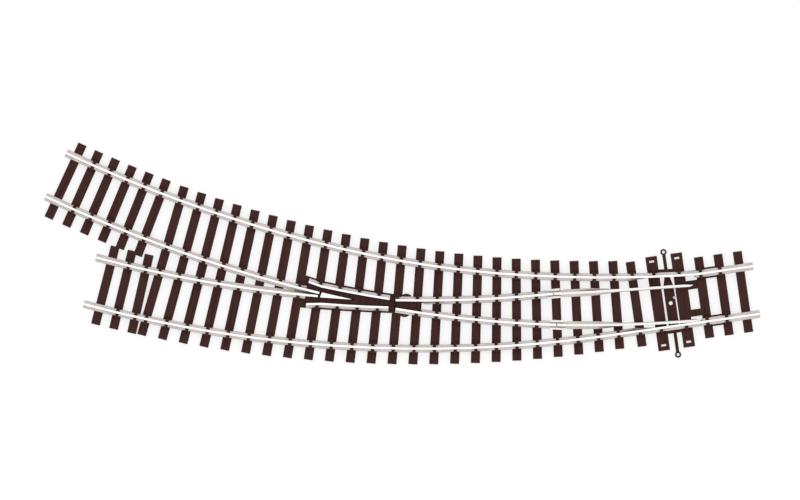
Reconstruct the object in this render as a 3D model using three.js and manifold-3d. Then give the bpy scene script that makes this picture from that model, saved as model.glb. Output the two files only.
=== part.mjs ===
// Right-hand curved turnout for 16.5 mm gauge track.
// Millimetres, +Z up. +X runs along the toe straight and out of the toe end, +Y is the side that both
// routes curve to. The origin is the underside of the first toe sleeper, on the track centreline.

import * as THREE from 'three';
import { mergeVertices } from 'three/addons/utils/BufferGeometryUtils.js';
import Module from 'manifold-3d';

// ---- Driving dimensions ----
const GAUGE = 16.5;                  // between the inner faces of the two rail heads
const HEAD_WIDTH = 0.9;
const RAIL_SPACING = GAUGE + HEAD_WIDTH;
const RAIL_HEIGHT = 2.5;
const FOOT_WIDTH = 2.8;
const FOOT_EDGE = 0.3;               // thickness of the foot at its edge
const FOOT_CROWN = 0.6;              // thickness of the foot where it meets the web
const WEB_WIDTH = 0.5;
const HEAD_DEPTH = 0.75;
const FIT = 0.05;                    // gap left between pieces that rest on each other
const SIDE_FIT = 0.1;                // gap left beside the rail feet and heads

const TOE_END = 4.9;                 // from the origin to the rail ends at the toe
const SET_FROM_TOE = 21.4;           // where the inner stock rail is set outwards
const SET_ANGLE = 4.38;              // degrees
const INNER_RADII = [[62.5, 496], [64.5, 386]];   // arc length and radius, then INNER_LAST_RADIUS
const INNER_LAST_RADIUS = 502;
const INNER_LENGTH = 255;            // toe to heel along the inner stock rail
const OUTER_STRAIGHT = 55;
const OUTER_RADIUS = 473.5;
const OUTER_LENGTH = 246.3;          // toe to heel along the outer stock rail

const SLEEPER_WIDTH = 3.28;
const SLEEPER_HEIGHT = 2;
const TOE = { count: 3, pitch: 7.1, overhang: 6.05 };
const SWITCH_END = { x: -38.8, overhang: 5.65 };   // the sleeper behind the headblocks
const LONG_SLEEPERS = 24;            // sleepers under both routes, behind that one
const INNER_SPACING = { start: 50.43, pitch: 7.087, change: -0.0059 };   // closing up towards the heel
const OUTER_SPACING = { start: 51.5, pitch: 7.383, change: 0.0034 };    // opening out towards the heel
const INNER_OVERHANG = [5.95, 5.2];  // sleeper beyond the inner stock rail, at the switch and at the heel
const OUTER_OVERHANG = [5.4, 6.05];
const INNER_LEG = { count: 6, start: 217.64, pitch: 6.66, stockOverhang: 5.35, veeOverhang: 6.65 };
const OUTER_LEG = { count: 3, start: 227.1, pitch: 6.63, stockOverhang: 6.1, veeOverhang: 5.6 };
const STRIP = { half: 0.9, height: 1.2 };          // web under a rail, from sleeper to sleeper
const STOCK_STRIP = { gaugeSide: 0.42, fieldSide: 1.3 };   // and under a stock rail, clear of the blades
const TOE_STRIP = { half: 2, height: 1.95 };       // the stouter one behind the second toe sleeper
const STATION = 12;                  // longest step between stations along a curve
const CHAIR = { half: 0.58, lip: 0.36, inside: 1.5, outside: 2, under: 2.72, top: 3.15 };

const HEADBLOCK = { half: 2.1, toeX: -21.95, heelX: -31.1, innerEnd: 17.33, outerEnd: -16.95 };
const LUG_SLOT = { half: 0.875, halfWidth: 0.35, inner: 15.49, outer: -15.03 };
const SWITCH_WEBS = [[3.55, 6.75], [-6.28, -3.7]]; // Y spans of the webs from headblock to sleeper
const SWITCH_FLOOR = { headblockX: -19.45, sleeperX: -16.05 };
const GUARD = { near: 0.9, far: 2.5, bottom: 1.4 };

const TIE_BAR = { x: -26.4, half: 1.88, rodHalf: 0.6, bottom: 0.4, top: 1.6, rodTop: 1.15 };
const TIE_PLAN = { taper: 5.5, thickEnd: 7.7, rod: 10.8, outerTaper: -8.8, outerRod: -10.2 };
const RING = { radius: 1.15, hole: 0.52, inner: 18.3, outer: -19.08 };
const DRIVE_HOLE = { radius: 0.7, y: -0.33 };
const SPRING_NOTCH = { x: -24.85, y: 1.55, radius: 0.45 };
const THROW = 2.5;                   // travel of the tie bar

const BLADE_HEEL = { inner: 70.3, outer: 73.2 };   // along the stock rails
const BLADE_TIP_X = -17.4;
const HEEL_GAP = 0.35;
const CLOSED_ANGLE = 0.8;            // a closed blade lies this far off its closure rail's line
const BLADE_FOOT = {
  gaugeSide: 0.65,
  stockSide: 0.43,
  heelHalf: 1.1,
  heelLength: 3.2,
  heelStep: 0.3,
  fullTo: 14,                        // from the heel, the foot is whole up to here
  narrowFrom: 24,                    // and at its narrowest from here
};
const BLADE_TIP = { planed: 3.2, sharpened: 1, half: 0.2, edge: 0.05 };
const STOCK_CUT = { heelX: -41, fullX: -33, toeX: -16.8, notch: 1, half: 0.45 };
const PIN = { radius: 0.4, bottom: 0.3, plate: [2.4, 1.2], plateBottom: 1.72, slot: [0.9, 0.5] };
const JOINER = { half: 2.5, wall: 0.25, bottom: 1.75, inside: 1.5, lipEnd: 0.95, lipUnder: 2.72 };

const CLOSURE_END = { inner: 126.7, outer: 132.7 };  // along the stock rails
const WING = {
  inner: { start: 129.2, offsets: [3.15, 2.5], flare: 153.4, end: 158.2 },
  outer: { start: 135.2, offsets: [2.7, 2.7], flare: 160.2, end: 166 },
  flareAngle: 6,
};
const THROAT = { gap: 0.2, inner: 1.5, outer: 1.9 }; // insulators in front of the wing rails
const CUT = { inner: 153.2, outer: 161.45, half: 0.35, plateHalf: 0.2 };
const NOSE_TIP = { inner: 142.3, outer: 149.3 };
const VEE_FOOT = { start: 0.5, length: 11.5, step: 0.3 };  // inner half foot at the cut, and where it is whole
const INFILL = {
  top: 3.3,
  inner: 158,
  outer: 166.2,
  blunt: { inner: 118.6, outer: 123.2 },
  tipRoom: 1,                        // its seat for the vee starts this far in front of the nose
  beyond: 2,                         // and runs out past its own end
};
const LEDGE = 2;                     // frog floor beyond a wing rail's centre
const BOSS = { inner: 123.5, outer: 128.6, radius: 2.45 };
const RISER_RADIUS = 0.45;
const WIRE = { radius: 0.2, top: 1.9, groove: 0.35 };
const WIRE_LEVEL = { inner: 0.4, outer: 0.9 };       // one passes over the other under the nose
const WIRE_END_SLEEPER = 17;         // the long sleeper, counted from 0, that the wires rise through
const VEE_CHAIRS = { first: 16, bothFrom: 20 };      // long sleepers with chairs outside, and on both sides

const SPRING = { pivotX: -21.6, radius: 0.18, z: 0.85, legTop: 1.55, pivotHole: 0.3, bend: 0.25 };
const SPRING_LOOP = [                // bends of the loop, along and beside the line between the legs
  [0.25, 0], [0.95, 0.05], [1.3, 0.5], [1.15, 1.1], [1.7, 1.4], [2.25, 1.1], [2.1, 0.5], [2.45, 0.05],
];
const POCKET = { x: [-24.2, -21.2], y: [1, 5.2], top: 1.25 };
const COVER = { x: [-23.75, -20.2], y: [0.4, 5.8], bottom: 0.05, top: 0.3, clearance: 0.1 };

const COLOUR = {
  plastic: 0x3e2723,
  rail: 0xd8d4d0,
  insulator: 0x14110f,
  spring: 0xa9a6a0,
  copper: 0xb4713a,
};

const wasm = await Module();
wasm.setup();

const radians = THREE.MathUtils.degToRad;

// ---- Track lines ----
// A line is a chain of straights and arcs that starts at the toe end and heads towards -X. Each
// segment is { length, radius, turn }: turn is a sharp set before it, and an arc turns towards +Y.
class TrackLine {
  constructor(x, y, segments) {
    this.start = new THREE.Vector2(x, y);
    this.segments = segments;
  }

  // Point and heading at a distance along the line, moved sideways by offset (positive towards -Y).
  at(distance, offset = 0) {
    const point = this.start.clone();
    let heading = Math.PI;
    let left = distance;
    for (const [index, segment] of this.segments.entries()) {
      heading -= radians(segment.turn ?? 0);
      const isLast = index === this.segments.length - 1;
      const step = isLast ? left : Math.min(left, segment.length);
      const bend = segment.radius ? step / segment.radius : 0;
      const chord = segment.radius ? 2 * segment.radius * Math.sin(bend / 2) : step;
      point.x += chord * Math.cos(heading - bend / 2);
      point.y += chord * Math.sin(heading - bend / 2);
      heading -= bend;
      left -= step;
      if (left <= 1e-9) break;
    }
    point.x -= offset * Math.sin(heading);
    point.y += offset * Math.cos(heading);
    return { point, heading };
  }

  // Distances from one place to another, no more than STATION apart, with a station at each break.
  stations(from, to, breaks = []) {
    const marks = [from, ...breaks.filter((mark) => mark > from && mark < to), to];
    const list = [from];
    for (let i = 1; i < marks.length; i += 1) {
      const steps = Math.max(1, Math.ceil((marks[i] - marks[i - 1]) / STATION));
      for (let k = 1; k <= steps; k += 1) {
        list.push(marks[i - 1] + ((marks[i] - marks[i - 1]) * k) / steps);
      }
    }
    return list;
  }
}

const innerArcs = [...INNER_RADII, [INNER_LENGTH, INNER_LAST_RADIUS]]
  .map(([length, radius]) => ({ length, radius }));
const [firstArc, ...otherArcs] = innerArcs;
const innerLine = new TrackLine(TOE_END, RAIL_SPACING / 2, [
  { length: SET_FROM_TOE },
  { ...firstArc, turn: SET_ANGLE },
  ...otherArcs,
]);
const outerLine = new TrackLine(TOE_END, -RAIL_SPACING / 2, [
  { length: OUTER_STRAIGHT },
  { length: OUTER_LENGTH, radius: OUTER_RADIUS },
]);

// The rails between the stock rails keep the gauge from the stock rail across the track. The inner
// route's line runs straight back from the set, so its blade can reach past it.
const setPoint = innerLine.at(SET_FROM_TOE - FIT).point;
const setBack = new THREE.Vector2(SET_FROM_TOE, 0).rotateAround(new THREE.Vector2(), -radians(SET_ANGLE));
const innerRouteLine = new TrackLine(setPoint.x - FIT + setBack.x, setPoint.y + setBack.y, [
  { length: SET_FROM_TOE, turn: SET_ANGLE },
  ...innerArcs,
]);
const INNER_ROUTE = { line: innerRouteLine, offset: RAIL_SPACING };
const OUTER_ROUTE = { line: outerLine, offset: -RAIL_SPACING };
const STOCK_ROUTES = { inner: { line: innerLine, offset: 0 }, outer: { line: outerLine, offset: 0 } };

// Distance along a route at which it reaches an X position.
function distanceAtX({ line, offset }, x) {
  let distance = TOE_END - x;
  for (let pass = 0; pass < 6; pass += 1) distance += line.at(distance, offset).point.x - x;
  return distance;
}

// ---- Solids ----
function closedGeometry(positions, triangles) {
  const geometry = new THREE.BufferGeometry();
  geometry.setAttribute('position', new THREE.Float32BufferAttribute(positions, 3));
  geometry.setIndex(triangles);
  return geometry;
}

// Closed solid through a row of sections. A section is { point, heading, outline }, and its outline
// lists [sideways, height] corners either way round, with sideways positive to the left.
function loft(sections) {
  const positions = [];
  const triangles = [];
  const flat = (outline) => outline.map(([side, height]) => new THREE.Vector2(side, height));
  const backwards = THREE.ShapeUtils.isClockWise(flat(sections[0].outline));
  const outlines = sections.map(({ outline }) => (backwards ? [...outline].reverse() : outline));
  const corners = outlines[0].length;
  for (const [index, { point, heading }] of sections.entries()) {
    for (const [side, height] of outlines[index]) {
      positions.push(point.x - side * Math.sin(heading), point.y + side * Math.cos(heading), height);
    }
  }
  for (let i = 0; i + 1 < sections.length; i += 1) {
    for (let k = 0; k < corners; k += 1) {
      const a = i * corners + k;
      const b = i * corners + ((k + 1) % corners);
      triangles.push(a, b, a + corners, b, b + corners, a + corners);
    }
  }
  const last = (sections.length - 1) * corners;
  for (const [a, b, c] of THREE.ShapeUtils.triangulateShape(flat(outlines[0]), [])) {
    triangles.push(a, c, b);
  }
  for (const [a, b, c] of THREE.ShapeUtils.triangulateShape(flat(outlines.at(-1)), [])) {
    triangles.push(last + a, last + b, last + c);
  }
  return closedGeometry(positions, triangles);
}

const rectangle = (from, to, bottom, top) => [[from, bottom], [from, top], [to, top], [to, bottom]];

// Bar of rectangular section between two plan points.
function bar(start, end, half, bottom, top) {
  const heading = end.clone().sub(start).angle();
  const outline = rectangle(-half, half, bottom, top);
  return loft([{ point: start, heading, outline }, { point: end, heading, outline }]);
}

// Strip that follows a line between two distances and two sideways offsets.
function strip(line, from, to, near, far, bottom, top) {
  const outline = rectangle(Math.min(near, far), Math.max(near, far), bottom, top);
  return loft(line.stations(from, to).map((distance) => ({ ...line.at(distance), outline })));
}

// Upright prism from a plan outline of points.
function prism(outline, bottom, top, curveSegments = 6) {
  const shape = outline instanceof THREE.Shape ? outline : new THREE.Shape(outline);
  const options = { depth: top - bottom, bevelEnabled: false, curveSegments };
  return new THREE.ExtrudeGeometry(shape, options).translate(0, 0, bottom);
}

function box(x, y, z) {
  const corners = [[x[0], y[0]], [x[1], y[0]], [x[1], y[1]], [x[0], y[1]]];
  return prism(corners.map(([cx, cy]) => new THREE.Vector2(cx, cy)), z[0], z[1]);
}

function disc(point, radius, bottom, top, sides = 16) {
  const geometry = new THREE.CylinderGeometry(radius, radius, top - bottom, sides);
  return geometry.rotateX(Math.PI / 2).translate(point.x, point.y, (bottom + top) / 2);
}

// Round wire through a list of points.
function wire(points, radius, steps) {
  const curve = new THREE.CatmullRomCurve3(points, false, 'catmullrom', 0.3);
  const section = new THREE.Shape().absarc(0, 0, radius, 0, 2 * Math.PI);
  const options = { steps, bevelEnabled: false, extrudePath: curve, curveSegments: 4 };
  return new THREE.ExtrudeGeometry(section, options);
}

function toManifold(geometry) {
  const plain = geometry.clone();
  plain.deleteAttribute('normal');
  plain.deleteAttribute('uv');
  const merged = mergeVertices(plain, 1e-4);
  const mesh = new wasm.Mesh({
    numProp: 3,
    vertProperties: new Float32Array(merged.attributes.position.array),
    triVerts: new Uint32Array(merged.index.array),
  });
  return new wasm.Manifold(mesh);
}

function fromManifold(solid) {
  const mesh = solid.getMesh();
  return closedGeometry(Array.from(mesh.vertProperties), Array.from(mesh.triVerts));
}

const join = (geometries) => geometries.map(toManifold).reduce((sum, solid) => sum.add(solid));
const cut = (solid, tools) => tools.map(toManifold).reduce((rest, tool) => rest.subtract(tool), solid);

// Value that runs evenly from one end to the other and stays level outside.
function ramp(distance, from, to, first, last) {
  const t = THREE.MathUtils.clamp((distance - from) / (to - from), 0, 1);
  return first + t * (last - first);
}

// ---- Named pieces ----
const group = new THREE.Group();

function addNode(name, geometry, finish, parent = group) {
  const material = new THREE.MeshStandardMaterial(finish);
  const mesh = new THREE.Mesh(geometry, material);
  mesh.name = name;
  parent.add(mesh);
  return mesh;
}
const RAIL_FINISH = { color: COLOUR.rail, roughness: 0.35, metalness: 0.9 };
const PLASTIC_FINISH = { color: COLOUR.plastic, roughness: 0.75, metalness: 0 };
const INSULATOR_FINISH = { color: COLOUR.insulator, roughness: 0.6, metalness: 0 };
const SPRING_FINISH = { color: COLOUR.spring, roughness: 0.3, metalness: 1 };
const COPPER_FINISH = { color: COLOUR.copper, roughness: 0.35, metalness: 1 };

// ---- Rails ----
const FOOT_BOTTOM = SLEEPER_HEIGHT + FIT;
const RAIL_TOP = FOOT_BOTTOM + RAIL_HEIGHT;
const FULL_SIDE = { foot: FOOT_WIDTH / 2, head: HEAD_WIDTH / 2 };
const HEAD_CHAMFER = 0.1;

// One side of a flat-bottomed rail section, from the foot's underside up to the top of the head.
function railSide({ foot, head }, sign) {
  const web = Math.min(WEB_WIDTH / 2, head);
  return [
    [sign * foot, FOOT_BOTTOM],
    [sign * foot, FOOT_BOTTOM + FOOT_EDGE],
    [sign * web, FOOT_BOTTOM + FOOT_CROWN],
    [sign * web, RAIL_TOP - HEAD_DEPTH],
    [sign * head, RAIL_TOP - HEAD_DEPTH + HEAD_CHAMFER],
    [sign * head, RAIL_TOP],
  ];
}

// Rail along a route. shape(distance) may narrow a side or shift the whole section sideways.
function rail(route, from, to, shape = () => ({}), breaks = []) {
  const marks = [...breaks].sort((a, b) => a - b);
  return loft(route.line.stations(from, to, marks).map((distance) => {
    const { left, right, shift = 0 } = shape(distance);
    const leftSide = railSide({ ...FULL_SIDE, ...left }, 1);
    const rightSide = railSide({ ...FULL_SIDE, ...right }, -1);
    const outline = [...rightSide, ...leftSide.reverse()].map(([side, height]) => [side + shift, height]);
    return { ...route.line.at(distance, route.offset), outline };
  }));
}

// Stock rails: the foot is cut away on the side where a closed blade lies.
const atX = (x) => TOE_END - x;
const STOCK_BREAKS = [STOCK_CUT.toeX + STOCK_CUT.notch, STOCK_CUT.toeX, STOCK_CUT.fullX, STOCK_CUT.heelX]
  .map(atX);

function stockInnerFoot(distance) {
  const x = TOE_END - distance;
  if (x > STOCK_CUT.toeX) {
    return ramp(x, STOCK_CUT.toeX, STOCK_CUT.toeX + STOCK_CUT.notch, STOCK_CUT.half, FULL_SIDE.foot);
  }
  return ramp(x, STOCK_CUT.heelX, STOCK_CUT.fullX, FULL_SIDE.foot, STOCK_CUT.half);
}
const innerStockShape = (distance) => ({ left: { foot: stockInnerFoot(distance) } });
const outerStockShape = (distance) => ({ right: { foot: stockInnerFoot(distance) } });
const innerStockBreaks = [...STOCK_BREAKS, SET_FROM_TOE];
addNode('inner_stock_rail',
  rail(STOCK_ROUTES.inner, 0, INNER_LENGTH, innerStockShape, innerStockBreaks), RAIL_FINISH);
addNode('outer_stock_rail',
  rail(STOCK_ROUTES.outer, 0, OUTER_LENGTH, outerStockShape, STOCK_BREAKS), RAIL_FINISH);

// Point blades, drawn on the line of their closure rails and then swung about the heel. The side
// towards the stock rail has no foot, and is planed near the tip.
const BLADES = {
  inner: {
    route: INNER_ROUTE, heel: BLADE_HEEL.inner, stockSide: 'left', gaugeSide: 'right', sign: 1, open: 0,
  },
  outer: {
    route: OUTER_ROUTE, heel: BLADE_HEEL.outer, stockSide: 'right', gaugeSide: 'left', sign: -1, open: 1,
  },
};

function bladeGeometry({ route, heel, stockSide, gaugeSide }) {
  const tip = distanceAtX(route, BLADE_TIP_X);
  const planedFrom = tip + BLADE_TIP.planed;
  const sharpFrom = tip + BLADE_TIP.sharpened;
  const heelFoot = heel - BLADE_FOOT.heelLength;
  const shape = (distance) => {
    const fromHeel = heel - distance;
    const slim = (half) => ramp(fromHeel, BLADE_FOOT.fullTo, BLADE_FOOT.narrowFrom, FULL_SIDE.foot, half);
    const atHeel = distance > heelFoot - FIT;
    const stockHead = ramp(distance, tip, planedFrom, BLADE_TIP.half, FULL_SIDE.head);
    const gaugeHead = ramp(distance, tip, sharpFrom, BLADE_TIP.edge, FULL_SIDE.head);
    const gaugeFoot = ramp(distance, tip, sharpFrom, BLADE_TIP.edge, BLADE_FOOT.gaugeSide);
    const stockFoot = Math.min(slim(BLADE_FOOT.stockSide), stockHead);
    const foot = { stock: fromHeel < BLADE_FOOT.narrowFrom ? slim(BLADE_FOOT.stockSide) : stockFoot,
      gauge: fromHeel < BLADE_FOOT.narrowFrom ? slim(BLADE_FOOT.gaugeSide) : gaugeFoot };
    return {
      [stockSide]: { foot: atHeel ? BLADE_FOOT.heelHalf : foot.stock, head: stockHead },
      [gaugeSide]: { foot: atHeel ? BLADE_FOOT.heelHalf : foot.gauge, head: gaugeHead },
    };
  };
  const step = heelFoot - BLADE_FOOT.heelStep;
  const footBreaks = [heelFoot, step, heel - BLADE_FOOT.fullTo, heel - BLADE_FOOT.narrowFrom];
  return rail(route, tip, heel, shape, [sharpFrom, planedFrom, ...footBreaks]);
}

// Swing group of a blade: its place is the heel, and its turn puts the blade at rest.
function bladePivot({ route, heel, sign, open }) {
  const { point } = route.line.at(heel, route.offset);
  const lever = TIE_BAR.x - point.x;
  const swing = THREE.MathUtils.radToDeg(THROW / lever);
  return { point, lever, angle: sign * (CLOSED_ANGLE + open * swing) };
}

function placeBlade(name, blade) {
  const { point, angle } = bladePivot(blade);
  const swing = new THREE.Group();
  swing.position.set(point.x, point.y, 0);
  swing.rotation.z = radians(angle);
  group.add(swing);
  const local = (geometry) => geometry.translate(-point.x, -point.y, 0);
  addNode(`${name}_blade`, local(bladeGeometry(blade)), RAIL_FINISH, swing);
  const pinAt = bladePinPoint(blade);
  const [length, width] = PIN.plate;
  const halves = [[-length / 2, length / 2], [-width / 2, width / 2]];
  const plate = box(halves[0], halves[1], [PIN.plateBottom, SLEEPER_HEIGHT]);
  const stem = disc(new THREE.Vector2(), PIN.radius, PIN.bottom, PIN.plateBottom + FIT, 12);
  const pin = fromManifold(join([plate, stem])).rotateZ(-radians(angle)).translate(pinAt.x, pinAt.y, 0);
  addNode(`${name}_blade_pin`, local(pin), RAIL_FINISH, swing);
}

// The pin's place before the swing, chosen so that the swung blade has it over the tie bar.
function bladePinPoint(blade) {
  const { route } = blade;
  const { point: pivot, angle } = bladePivot(blade);
  let distance = TOE_END - TIE_BAR.x;
  for (let pass = 0; pass < 4; pass += 1) {
    const swung = route.line.at(distance, route.offset).point.rotateAround(pivot, radians(angle));
    distance += swung.x - TIE_BAR.x;
  }
  return route.line.at(distance, route.offset).point;
}

function pinAtRest(blade) {
  const { point: pivot, angle } = bladePivot(blade);
  return bladePinPoint(blade).rotateAround(pivot, radians(angle));
}
placeBlade('inner_route', BLADES.inner);
placeBlade('outer_route', BLADES.outer);

// Closure rails, with the inside of the foot cut flush where the frog's floor rises beside them.
function closureRail({ route, heel }, end, blunt, insideSide) {
  const start = heel + HEEL_GAP;
  const foot = (distance) => (distance > blunt ? FULL_SIDE.head : FULL_SIDE.foot);
  const shape = (distance) => ({ [insideSide]: { foot: foot(distance) } });
  return rail(route, start, end, shape, [blunt, blunt + SIDE_FIT]);
}
addNode('inner_route_closure_rail',
  closureRail(BLADES.inner, CLOSURE_END.inner, INFILL.blunt.inner - 1, 'right'), RAIL_FINISH);
addNode('outer_route_closure_rail',
  closureRail(BLADES.outer, CLOSURE_END.outer, INFILL.blunt.outer - 1, 'left'), RAIL_FINISH);

// Wing rails lie beside the vee, a flangeway away, and flare at their ends.
function wingShift({ start, offsets, flare }, distance) {
  const flared = Math.max(0, distance - flare) * Math.tan(radians(WING.flareAngle));
  return ramp(distance, start, flare, offsets[0], offsets[1]) + flared;
}
const WINGS = {
  inner: { route: INNER_ROUTE, form: WING.inner, throat: THROAT.inner, sign: -1, inside: 'left' },
  outer: { route: OUTER_ROUTE, form: WING.outer, throat: THROAT.outer, sign: 1, inside: 'right' },
};

function wingRail({ route, form, sign, inside }, from, to) {
  const shape = (distance) => ({
    [inside]: { foot: FULL_SIDE.head },
    shift: sign * wingShift(form, distance),
  });
  return rail(route, from, to, shape, [form.flare]);
}
for (const [side, wing] of Object.entries(WINGS)) {
  const { start, end } = wing.form;
  addNode(`${side}_wing_rail`, wingRail(wing, start, end), RAIL_FINISH);
  const block = wingRail(wing, start - THROAT.gap - wing.throat, start - THROAT.gap);
  addNode(`${side}_throat_insulator`, block, PLASTIC_FINISH);
}

// Vee rails run from the frog to the heels. Their feet are cut to lie side by side at the frog.
function veeRail(route, start, end, inside, outside, wholeFrom) {
  const innerWhole = start + VEE_FOOT.length;
  const innerFoot = (distance) => ramp(distance, start, innerWhole, VEE_FOOT.start, FULL_SIDE.foot);
  const outerFoot = (distance) => (distance < wholeFrom + FIT ? FULL_SIDE.head : FULL_SIDE.foot);
  const shape = (distance) => ({
    [inside]: { foot: innerFoot(distance) },
    [outside]: { foot: outerFoot(distance) },
  });
  return rail(route, start, end, shape, [innerWhole, wholeFrom, wholeFrom + VEE_FOOT.step]);
}
addNode('inner_route_vee_rail',
  veeRail(INNER_ROUTE, CUT.inner + CUT.half, INNER_LENGTH, 'left', 'right', INFILL.inner), RAIL_FINISH);
addNode('outer_route_vee_rail',
  veeRail(OUTER_ROUTE, CUT.outer + CUT.half, OUTER_LENGTH, 'right', 'left', INFILL.outer), RAIL_FINISH);

// Outline of the vee between the outer faces of its two heads, widened by a margin.
function veeOutline(fromInner, fromOuter, toInner, toOuter, margin) {
  const half = FULL_SIDE.head + margin;
  const along = (line, from, to, offset) => line.stations(from, to).map((s) => line.at(s, offset).point);
  const upper = along(innerLine, fromInner, toInner, RAIL_SPACING - half);
  const lower = along(outerLine, fromOuter, toOuter, half - RAIL_SPACING);
  return [...upper, ...lower.reverse()];
}
const noseEnd = { inner: CUT.inner - CUT.half, outer: CUT.outer - CUT.half };
const noseOutline = veeOutline(NOSE_TIP.inner, NOSE_TIP.outer, noseEnd.inner, noseEnd.outer, 0);
addNode('frog_nose', prism(noseOutline, FOOT_BOTTOM, RAIL_TOP), RAIL_FINISH);
const veeFace = RAIL_SPACING - FULL_SIDE.head;
const cutEnds = [innerLine.at(CUT.inner, veeFace).point, outerLine.at(CUT.outer, -veeFace).point];
addNode('vee_insulator', bar(...cutEnds, CUT.plateHalf, FOOT_BOTTOM, RAIL_TOP), INSULATOR_FINISH);

// ---- Sleeper places ----
// A sleeper is { from, to, chairs }: its two ends in plan, and the rails that it holds.
function spaced({ start, pitch, change = 0 }, index) {
  return start + pitch * index + change * index * index;
}

function acrossBoth(innerAt, outerAt, innerOverhang, outerOverhang) {
  const inner = innerLine.at(innerAt).point;
  const outer = outerLine.at(outerAt).point;
  const way = inner.clone().sub(outer).normalize();
  return {
    from: outer.addScaledVector(way, -outerOverhang),
    to: inner.addScaledVector(way, innerOverhang),
  };
}

const toeSleepers = Array.from({ length: TOE.count }, (_, index) => {
  const distance = TOE_END + TOE.pitch * index;
  return acrossBoth(distance, distance, TOE.overhang, TOE.overhang);
});
const switchEnd = TOE_END - SWITCH_END.x;
const switchEndSleeper = acrossBoth(switchEnd, switchEnd, SWITCH_END.overhang, SWITCH_END.overhang);
switchEndSleeper.from.x = SWITCH_END.x;
switchEndSleeper.to.x = SWITCH_END.x;
const longSleepers = Array.from({ length: LONG_SLEEPERS }, (_, index) => acrossBoth(
  spaced(INNER_SPACING, index),
  spaced(OUTER_SPACING, index),
  ramp(index, 0, LONG_SLEEPERS, ...INNER_OVERHANG),
  ramp(index, 0, LONG_SLEEPERS, ...OUTER_OVERHANG),
));

function legSleepers({ line, offset }, { count, start, pitch, stockOverhang, veeOverhang }) {
  return Array.from({ length: count }, (_, index) => {
    const distance = start + pitch * index;
    const away = Math.sign(offset);
    return {
      from: line.at(distance, -away * stockOverhang).point,
      to: line.at(distance, offset + away * veeOverhang).point,
    };
  });
}
const innerLeg = legSleepers(INNER_ROUTE, INNER_LEG);
const outerLeg = legSleepers(OUTER_ROUTE, OUTER_LEG);

// Distance along a line, at an offset, where a sleeper's axis crosses it.
function crossing({ line, offset }, { from, to }, low, high) {
  const axis = to.clone().sub(from);
  const sideOf = (distance) => axis.cross(line.at(distance, offset).point.sub(from));
  let [a, b] = [low, high];
  const rising = sideOf(b) > sideOf(a);
  for (let pass = 0; pass < 40; pass += 1) {
    const middle = (a + b) / 2;
    if ((sideOf(middle) > 0) === rising) b = middle;
    else a = middle;
  }
  return (a + b) / 2;
}

// ---- Sleeper base ----
const CHAIR_OUTLINE = [
  [CHAIR.lip, CHAIR.under],
  [CHAIR.inside, CHAIR.under],
  [CHAIR.inside, SLEEPER_HEIGHT - SIDE_FIT],
  [CHAIR.outside, SLEEPER_HEIGHT - SIDE_FIT],
  [CHAIR.outside, CHAIR.top],
  [CHAIR.lip, CHAIR.top],
];

// Chair on the left (side 1) or right (side -1) of a rail, shifted with the rail.
function chair({ line, offset }, distance, side, shift = 0) {
  const outline = CHAIR_OUTLINE.map(([across, height]) => [side * across + shift, height]);
  const ends = [distance - CHAIR.half, distance + CHAIR.half];
  return loft(ends.map((at) => ({ ...line.at(at, offset), outline })));
}

const basePieces = [];
const sleeperBar = ({ from, to }) => bar(from, to, SLEEPER_WIDTH / 2, 0, SLEEPER_HEIGHT);
const allSleepers = [...toeSleepers, switchEndSleeper, ...longSleepers, ...innerLeg, ...outerLeg];
basePieces.push(...allSleepers.map(sleeperBar));

// Headblocks, the bridges past the tie bar, and the webs under the blade tips.
const headblockSpan = (x) => [x - HEADBLOCK.half, x + HEADBLOCK.half];
for (const x of [HEADBLOCK.toeX, HEADBLOCK.heelX]) {
  basePieces.push(box(headblockSpan(x), [HEADBLOCK.outerEnd, HEADBLOCK.innerEnd], [0, SLEEPER_HEIGHT]));
}
const bridgeEnds = [atX(HEADBLOCK.toeX), atX(HEADBLOCK.heelX)];
basePieces.push(strip(innerLine, ...bridgeEnds, -GUARD.near, -GUARD.far, GUARD.bottom, SLEEPER_HEIGHT));
basePieces.push(strip(outerLine, ...bridgeEnds, GUARD.near, GUARD.far, GUARD.bottom, SLEEPER_HEIGHT));
const switchSleeperEdge = -2 * TOE.pitch;
for (const [low, high] of SWITCH_WEBS) {
  basePieces.push(box([HEADBLOCK.toeX, switchSleeperEdge], [low, high], [0, SLEEPER_HEIGHT]));
}
const switchFloorSpan = [SWITCH_WEBS[1][0], SWITCH_WEBS[0][1]];
basePieces.push(box([HEADBLOCK.toeX, SWITCH_FLOOR.headblockX], switchFloorSpan, [0, SLEEPER_HEIGHT]));
basePieces.push(box([SWITCH_FLOOR.sleeperX, switchSleeperEdge], switchFloorSpan, [0, SLEEPER_HEIGHT]));

// Webs under the rails.
const under = (line, from, to, near, far) => strip(line, from, to, near, far, 0, STRIP.height);
const lastInner = INNER_LEG.start + INNER_LEG.pitch * (INNER_LEG.count - 1);
const lastOuter = OUTER_LEG.start + OUTER_LEG.pitch * (OUTER_LEG.count - 1);
for (const [line, last, side] of [[innerLine, lastInner, 1], [outerLine, lastOuter, -1]]) {
  const sides = [side * STOCK_STRIP.gaugeSide, -side * STOCK_STRIP.fieldSide];
  basePieces.push(under(line, TOE_END, bridgeEnds[0], ...sides), under(line, bridgeEnds[1], last, ...sides));
  const toeSpan = [TOE_END + TOE.pitch, TOE_END + 2 * TOE.pitch];
  basePieces.push(strip(line, ...toeSpan, -TOE_STRIP.half, TOE_STRIP.half, 0, TOE_STRIP.height));
}
const heelSleeper = longSleepers[3];
const heelCrossing = (route) => crossing(route, heelSleeper, 60, 90);
for (const [route, last] of [[INNER_ROUTE, lastInner], [OUTER_ROUTE, lastOuter]]) {
  const sides = [route.offset - STRIP.half, route.offset + STRIP.half];
  basePieces.push(under(route.line, heelCrossing(route), last, ...sides));
}

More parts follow.
